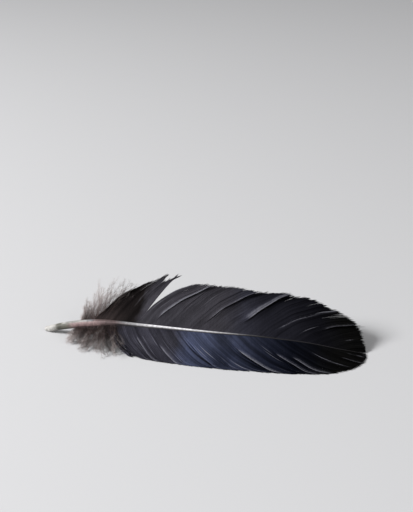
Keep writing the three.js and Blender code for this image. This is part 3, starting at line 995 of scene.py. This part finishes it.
CAMERA_AZIMUTH = 12.25  # degrees round from the feather's near side towards its tip
CAMERA_TURN = 12.0  # degrees that the camera itself is turned
CAMERA_HEIGHT = 24.7  # degrees above the ground
CAMERA_DISTANCE = 0.702  # metres from the feather's middle
CAMERA_LIFT = 3.44  # degrees that the camera aims above the feather's middle
MIDDLE = (0.0, -0.0008, 0.01)
FLOOR_REACH = 6.0  # metres from its middle to its edges
KEY_PLACE, KEY_SIZE = (-1.9, -0.8, 1.25), 0.9  # metres
FILL_PLACE, FILL_SIZE = (1.6, -1.5, 1.9), 2.0
FILL_PART = 0.2  # part of the key light's power


def add_light(name, place, power, size):
    """A soft square light that faces the feather's middle."""
    light = bpy.data.lights.new(name, "AREA")
    light.energy, light.size = power, size
    lamp = bpy.data.objects.new(name, light)
    bpy.context.scene.collection.objects.link(lamp)
    lamp.location = place
    x, y, z = (m - p for m, p in zip(MIDDLE, place))
    lamp.rotation_euler = (math.atan2(math.hypot(x, y), -z), 0, math.atan2(y, x) - math.pi / 2)


class FEATHER_OT_stage(bpy.types.Operator):
    """Builds the pale floor, the soft light from the left and the camera"""
    bl_idname = "feather.stage"
    bl_label = "Stage"

    def execute(self, context):
        stage = context.scene.feather_stage
        mesh = bpy.data.meshes.new("floor")
        corners = [(x * FLOOR_REACH, y * FLOOR_REACH, 0) for x, y in ((-1, -1), (1, -1), (1, 1), (-1, 1))]
        mesh.from_pydata(corners, [], [(0, 1, 2, 3)])
        floor = bpy.data.objects.new("floor", mesh)
        context.scene.collection.objects.link(floor)
        finish = Finish("floor", roughness=0.8, specular_ior_level=0.0)
        finish.set(base_color=stage.floor)
        mesh.materials.append(finish.material)
        add_light("key", KEY_PLACE, stage.key, KEY_SIZE)
        add_light("fill", FILL_PLACE, stage.key * FILL_PART, FILL_SIZE)
        world = bpy.data.worlds.new("studio")
        world.use_nodes = True
        sky = world.node_tree.nodes["Background"].inputs
        sky["Color"].default_value = (1, 1, 1, 1)
        sky["Strength"].default_value = stage.sky
        context.scene.world = world
        camera = bpy.data.objects.new("camera", bpy.data.cameras.new("camera"))
        context.scene.collection.objects.link(camera)
        camera.data.lens = stage.lens
        azimuth, height, turn = (math.radians(a) for a in (CAMERA_AZIMUTH, CAMERA_HEIGHT, CAMERA_TURN))
        level = math.cos(height)
        back = (math.sin(azimuth) * level, -math.cos(azimuth) * level, math.sin(height))
        camera.location = [m + CAMERA_DISTANCE * b for m, b in zip(MIDDLE, back)]
        camera.rotation_euler = (math.radians(90 - CAMERA_HEIGHT + CAMERA_LIFT), 0, turn)
        context.scene.camera = camera
        context.scene.view_settings.view_transform = "Standard"
        return {"FINISHED"}


class FEATHER_PT_panel(bpy.types.Panel):
    """Lists the feather's pieces and settings"""
    bl_label = "Wing Feather"
    bl_space_type = "VIEW_3D"
    bl_region_type = "UI"
    bl_category = "Feather"

    def draw(self, context):
        for operator in OPERATORS:
            self.layout.operator(operator.bl_idname)
        for name in SETTINGS:
            group = getattr(context.scene, name)
            box = self.layout.box()
            for key in group.__annotations__:
                box.prop(group, key)


OPERATORS = (FEATHER_OT_stage, FEATHER_OT_shaft, FEATHER_OT_near_webs, FEATHER_OT_far_webs, FEATHER_OT_down)
SETTINGS = {
    "feather_barbs": FeatherBarbSettings,
    "feather_colours": FeatherColourSettings,
    "feather_stage": FeatherStageSettings,
}
CLASSES = (*SETTINGS.values(), *OPERATORS, FEATHER_PT_panel)


def register():
    for cls in CLASSES:
        bpy.utils.register_class(cls)
    for name, cls in SETTINGS.items():
        setattr(bpy.types.Scene, name, bpy.props.PointerProperty(type=cls))


def unregister():
    for name in SETTINGS:
        delattr(bpy.types.Scene, name)
    for cls in reversed(CLASSES):
        bpy.utils.unregister_class(cls)


def main():
    register()
    bpy.ops.feather.stage()
    bpy.ops.feather.shaft()
    bpy.ops.feather.near_webs()
    bpy.ops.feather.far_webs()
    bpy.ops.feather.down()


if __name__ == "__main__":
    main()
